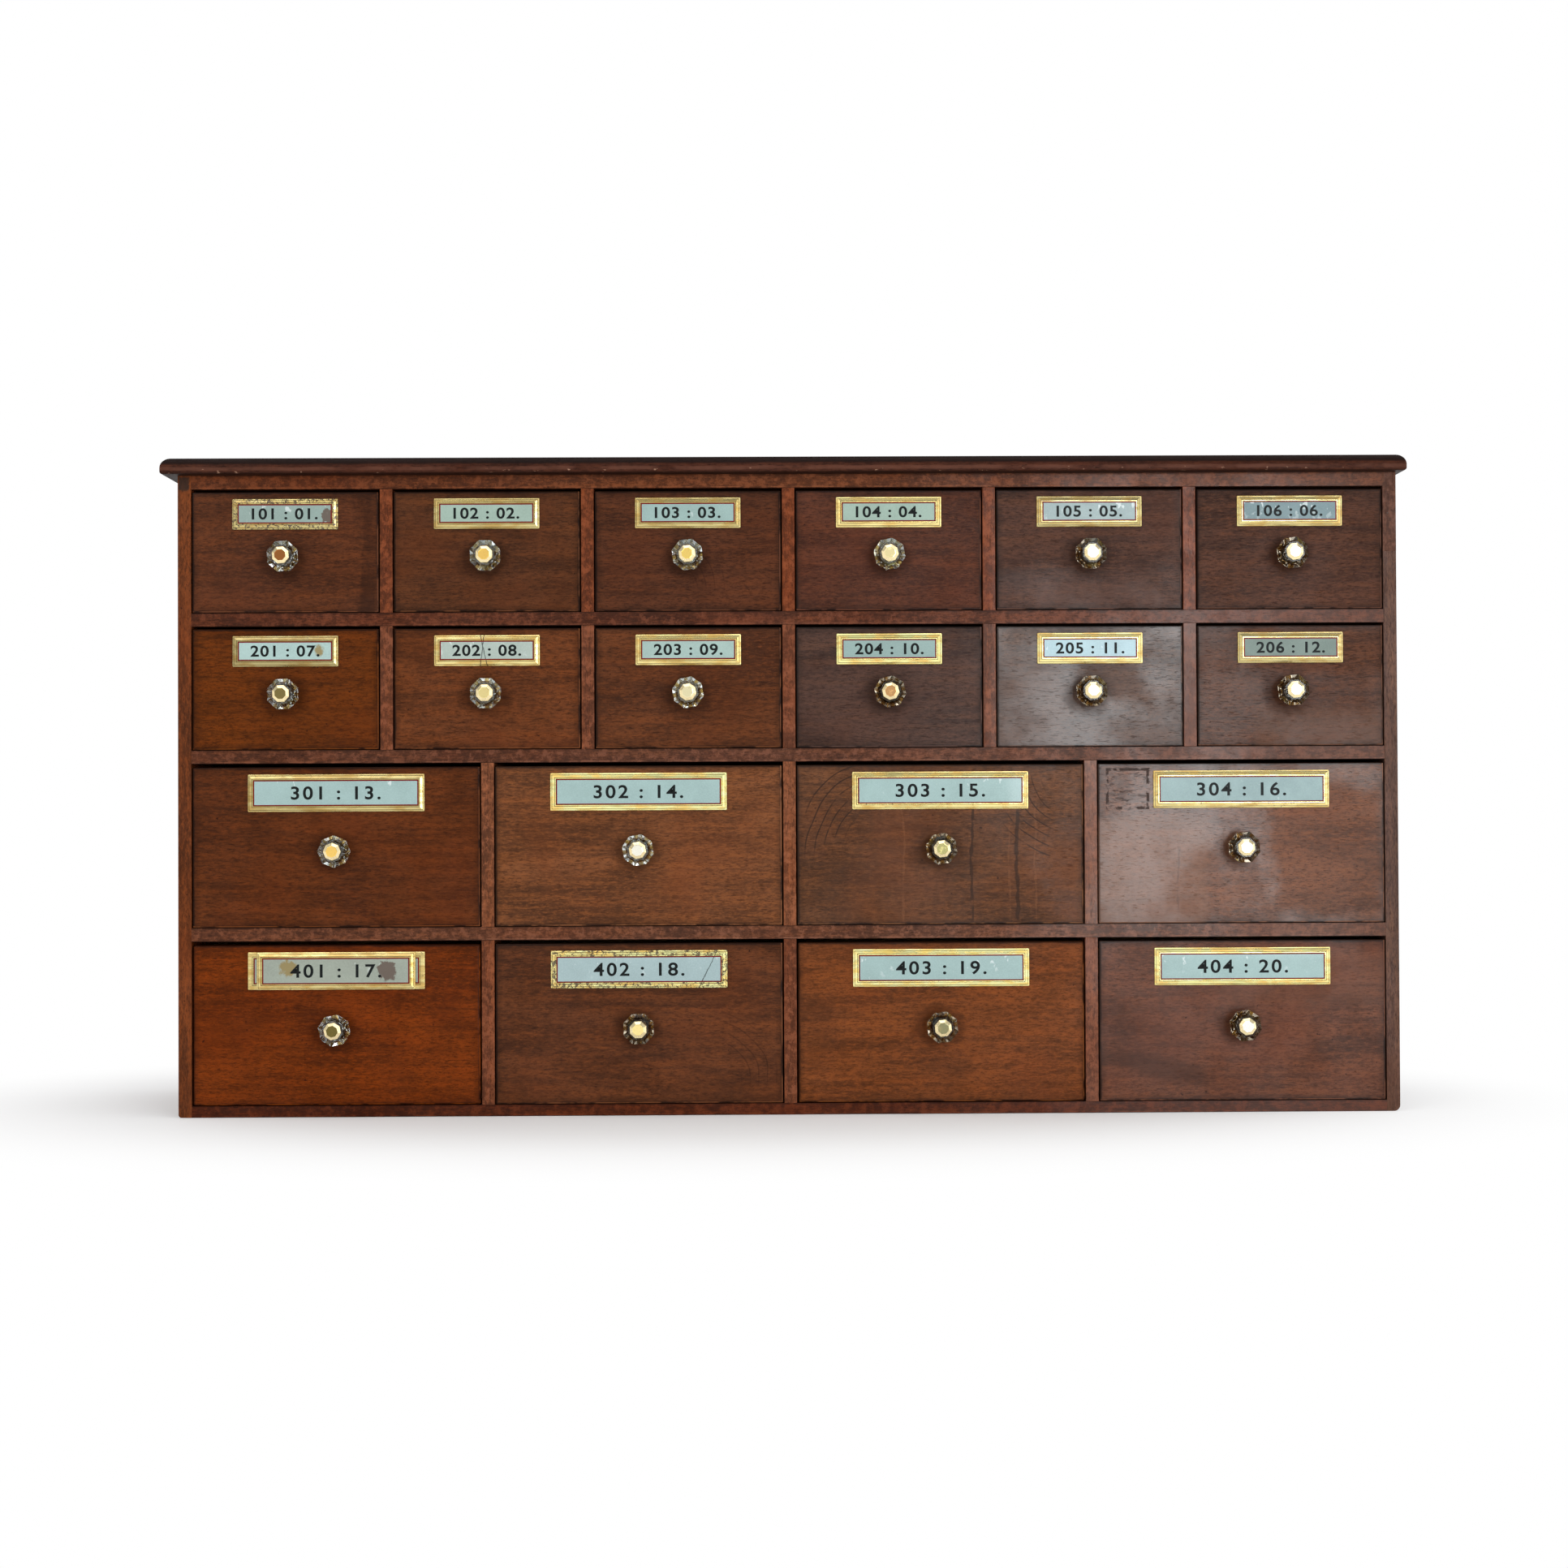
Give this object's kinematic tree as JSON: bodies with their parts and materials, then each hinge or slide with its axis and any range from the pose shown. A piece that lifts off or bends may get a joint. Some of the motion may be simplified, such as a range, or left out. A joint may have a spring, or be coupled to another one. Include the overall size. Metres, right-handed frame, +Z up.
{
  "type": "apothecary cabinet",
  "caption": "Low wide bank of wooden drawers, two rows of small over two rows of large, with octagonal glass knobs and bevelled glass labels, for dry stock on a counter.",
  "frame": {"origin": "middle of the underside of the carcass, on the surface it stands on", "axes": "+Z up, +X to the right of a person facing the drawers, the drawers face -Y and open towards -Y"},
  "size_m": [1.223, 0.2676, 0.647],
  "materials": {
    "mahogany": "old French polish, worn, satin",
    "dark_mahogany": "old French polish, darkened",
    "pine": "bare, aged",
    "brass": "lacquered, polished facets",
    "iron": "oxidised",
    "clear_glass": "cut and polished",
    "label_gilt": "gold leaf behind glass, rubbed",
    "label_paint": "paint behind glass, aged"
  },
  "bodies": {
    "carcass": {"top_board": "dark_mahogany", "left_side": "mahogany", "right_side": "mahogany", "bottom_board": "mahogany", "sub_top": "mahogany", "shelf_1": "mahogany", "shelf_2": "mahogany", "shelf_3": "mahogany", "row_1_dividers": "mahogany", "row_2_dividers": "mahogany", "row_3_dividers": "mahogany", "row_4_dividers": "mahogany", "back_boards": "pine", "back_nails": "iron", "top_screws": "brass", "drawer_stops": "pine", "stile_patch": "mahogany", "patch_pins": "iron"},
    "drawer_01": {"drawer_01_box": "mahogany", "drawer_01_fittings": "clear_glass"},
    "drawer_02": {"drawer_02_box": "mahogany", "drawer_02_fittings": "clear_glass"},
    "drawer_03": {"drawer_03_box": "mahogany", "drawer_03_fittings": "clear_glass"},
    "drawer_04": {"drawer_04_box": "mahogany", "drawer_04_fittings": "clear_glass"},
    "drawer_05": {"drawer_05_box": "mahogany", "drawer_05_fittings": "clear_glass"},
    "drawer_06": {"drawer_06_box": "mahogany", "drawer_06_fittings": "clear_glass"},
    "drawer_07": {"drawer_07_box": "mahogany", "drawer_07_fittings": "clear_glass"},
    "drawer_08": {"drawer_08_box": "mahogany", "drawer_08_fittings": "clear_glass"},
    "drawer_09": {"drawer_09_box": "mahogany", "drawer_09_fittings": "clear_glass"},
    "drawer_10": {"drawer_10_box": "mahogany", "drawer_10_fittings": "clear_glass"},
    "drawer_11": {"drawer_11_box": "mahogany", "drawer_11_fittings": "clear_glass"},
    "drawer_12": {"drawer_12_box": "mahogany", "drawer_12_fittings": "clear_glass"},
    "drawer_13": {"drawer_13_box": "mahogany", "drawer_13_fittings": "clear_glass"},
    "drawer_14": {"drawer_14_box": "mahogany", "drawer_14_fittings": "clear_glass"},
    "drawer_15": {"drawer_15_box": "mahogany", "drawer_15_fittings": "clear_glass"},
    "drawer_16": {"drawer_16_box": "mahogany", "drawer_16_fittings": "clear_glass"},
    "drawer_17": {"drawer_17_box": "mahogany", "drawer_17_fittings": "clear_glass"},
    "drawer_18": {"drawer_18_box": "mahogany", "drawer_18_fittings": "clear_glass"},
    "drawer_19": {"drawer_19_box": "mahogany", "drawer_19_fittings": "clear_glass"},
    "drawer_20": {"drawer_20_box": "mahogany", "drawer_20_fittings": "clear_glass"}
  },
  "joints": [
    {"name": "drawer_01_slide", "type": "slide", "parent": "carcass", "child": "drawer_01", "axis": [0, -1, 0], "range_m": [0, 0.19]},
    {"name": "drawer_02_slide", "type": "slide", "parent": "carcass", "child": "drawer_02", "axis": [0, -1, 0], "range_m": [0, 0.19]},
    {"name": "drawer_03_slide", "type": "slide", "parent": "carcass", "child": "drawer_03", "axis": [0, -1, 0], "range_m": [0, 0.19]},
    {"name": "drawer_04_slide", "type": "slide", "parent": "carcass", "child": "drawer_04", "axis": [0, -1, 0], "range_m": [0, 0.19]},
    {"name": "drawer_05_slide", "type": "slide", "parent": "carcass", "child": "drawer_05", "axis": [0, -1, 0], "range_m": [0, 0.19]},
    {"name": "drawer_06_slide", "type": "slide", "parent": "carcass", "child": "drawer_06", "axis": [0, -1, 0], "range_m": [0, 0.19]},
    {"name": "drawer_07_slide", "type": "slide", "parent": "carcass", "child": "drawer_07", "axis": [0, -1, 0], "range_m": [0, 0.19]},
    {"name": "drawer_08_slide", "type": "slide", "parent": "carcass", "child": "drawer_08", "axis": [0, -1, 0], "range_m": [0, 0.19]},
    {"name": "drawer_09_slide", "type": "slide", "parent": "carcass", "child": "drawer_09", "axis": [0, -1, 0], "range_m": [0, 0.19]},
    {"name": "drawer_10_slide", "type": "slide", "parent": "carcass", "child": "drawer_10", "axis": [0, -1, 0], "range_m": [0, 0.19]},
    {"name": "drawer_11_slide", "type": "slide", "parent": "carcass", "child": "drawer_11", "axis": [0, -1, 0], "range_m": [0, 0.19]},
    {"name": "drawer_12_slide", "type": "slide", "parent": "carcass", "child": "drawer_12", "axis": [0, -1, 0], "range_m": [0, 0.19]},
    {"name": "drawer_13_slide", "type": "slide", "parent": "carcass", "child": "drawer_13", "axis": [0, -1, 0], "range_m": [0, 0.19]},
    {"name": "drawer_14_slide", "type": "slide", "parent": "carcass", "child": "drawer_14", "axis": [0, -1, 0], "range_m": [0, 0.19]},
    {"name": "drawer_15_slide", "type": "slide", "parent": "carcass", "child": "drawer_15", "axis": [0, -1, 0], "range_m": [0, 0.19]},
    {"name": "drawer_16_slide", "type": "slide", "parent": "carcass", "child": "drawer_16", "axis": [0, -1, 0], "range_m": [0, 0.19]},
    {"name": "drawer_17_slide", "type": "slide", "parent": "carcass", "child": "drawer_17", "axis": [0, -1, 0], "range_m": [0, 0.19]},
    {"name": "drawer_18_slide", "type": "slide", "parent": "carcass", "child": "drawer_18", "axis": [0, -1, 0], "range_m": [0, 0.19]},
    {"name": "drawer_19_slide", "type": "slide", "parent": "carcass", "child": "drawer_19", "axis": [0, -1, 0], "range_m": [0, 0.19]},
    {"name": "drawer_20_slide", "type": "slide", "parent": "carcass", "child": "drawer_20", "axis": [0, -1, 0], "range_m": [0, 0.19]}
  ]
}
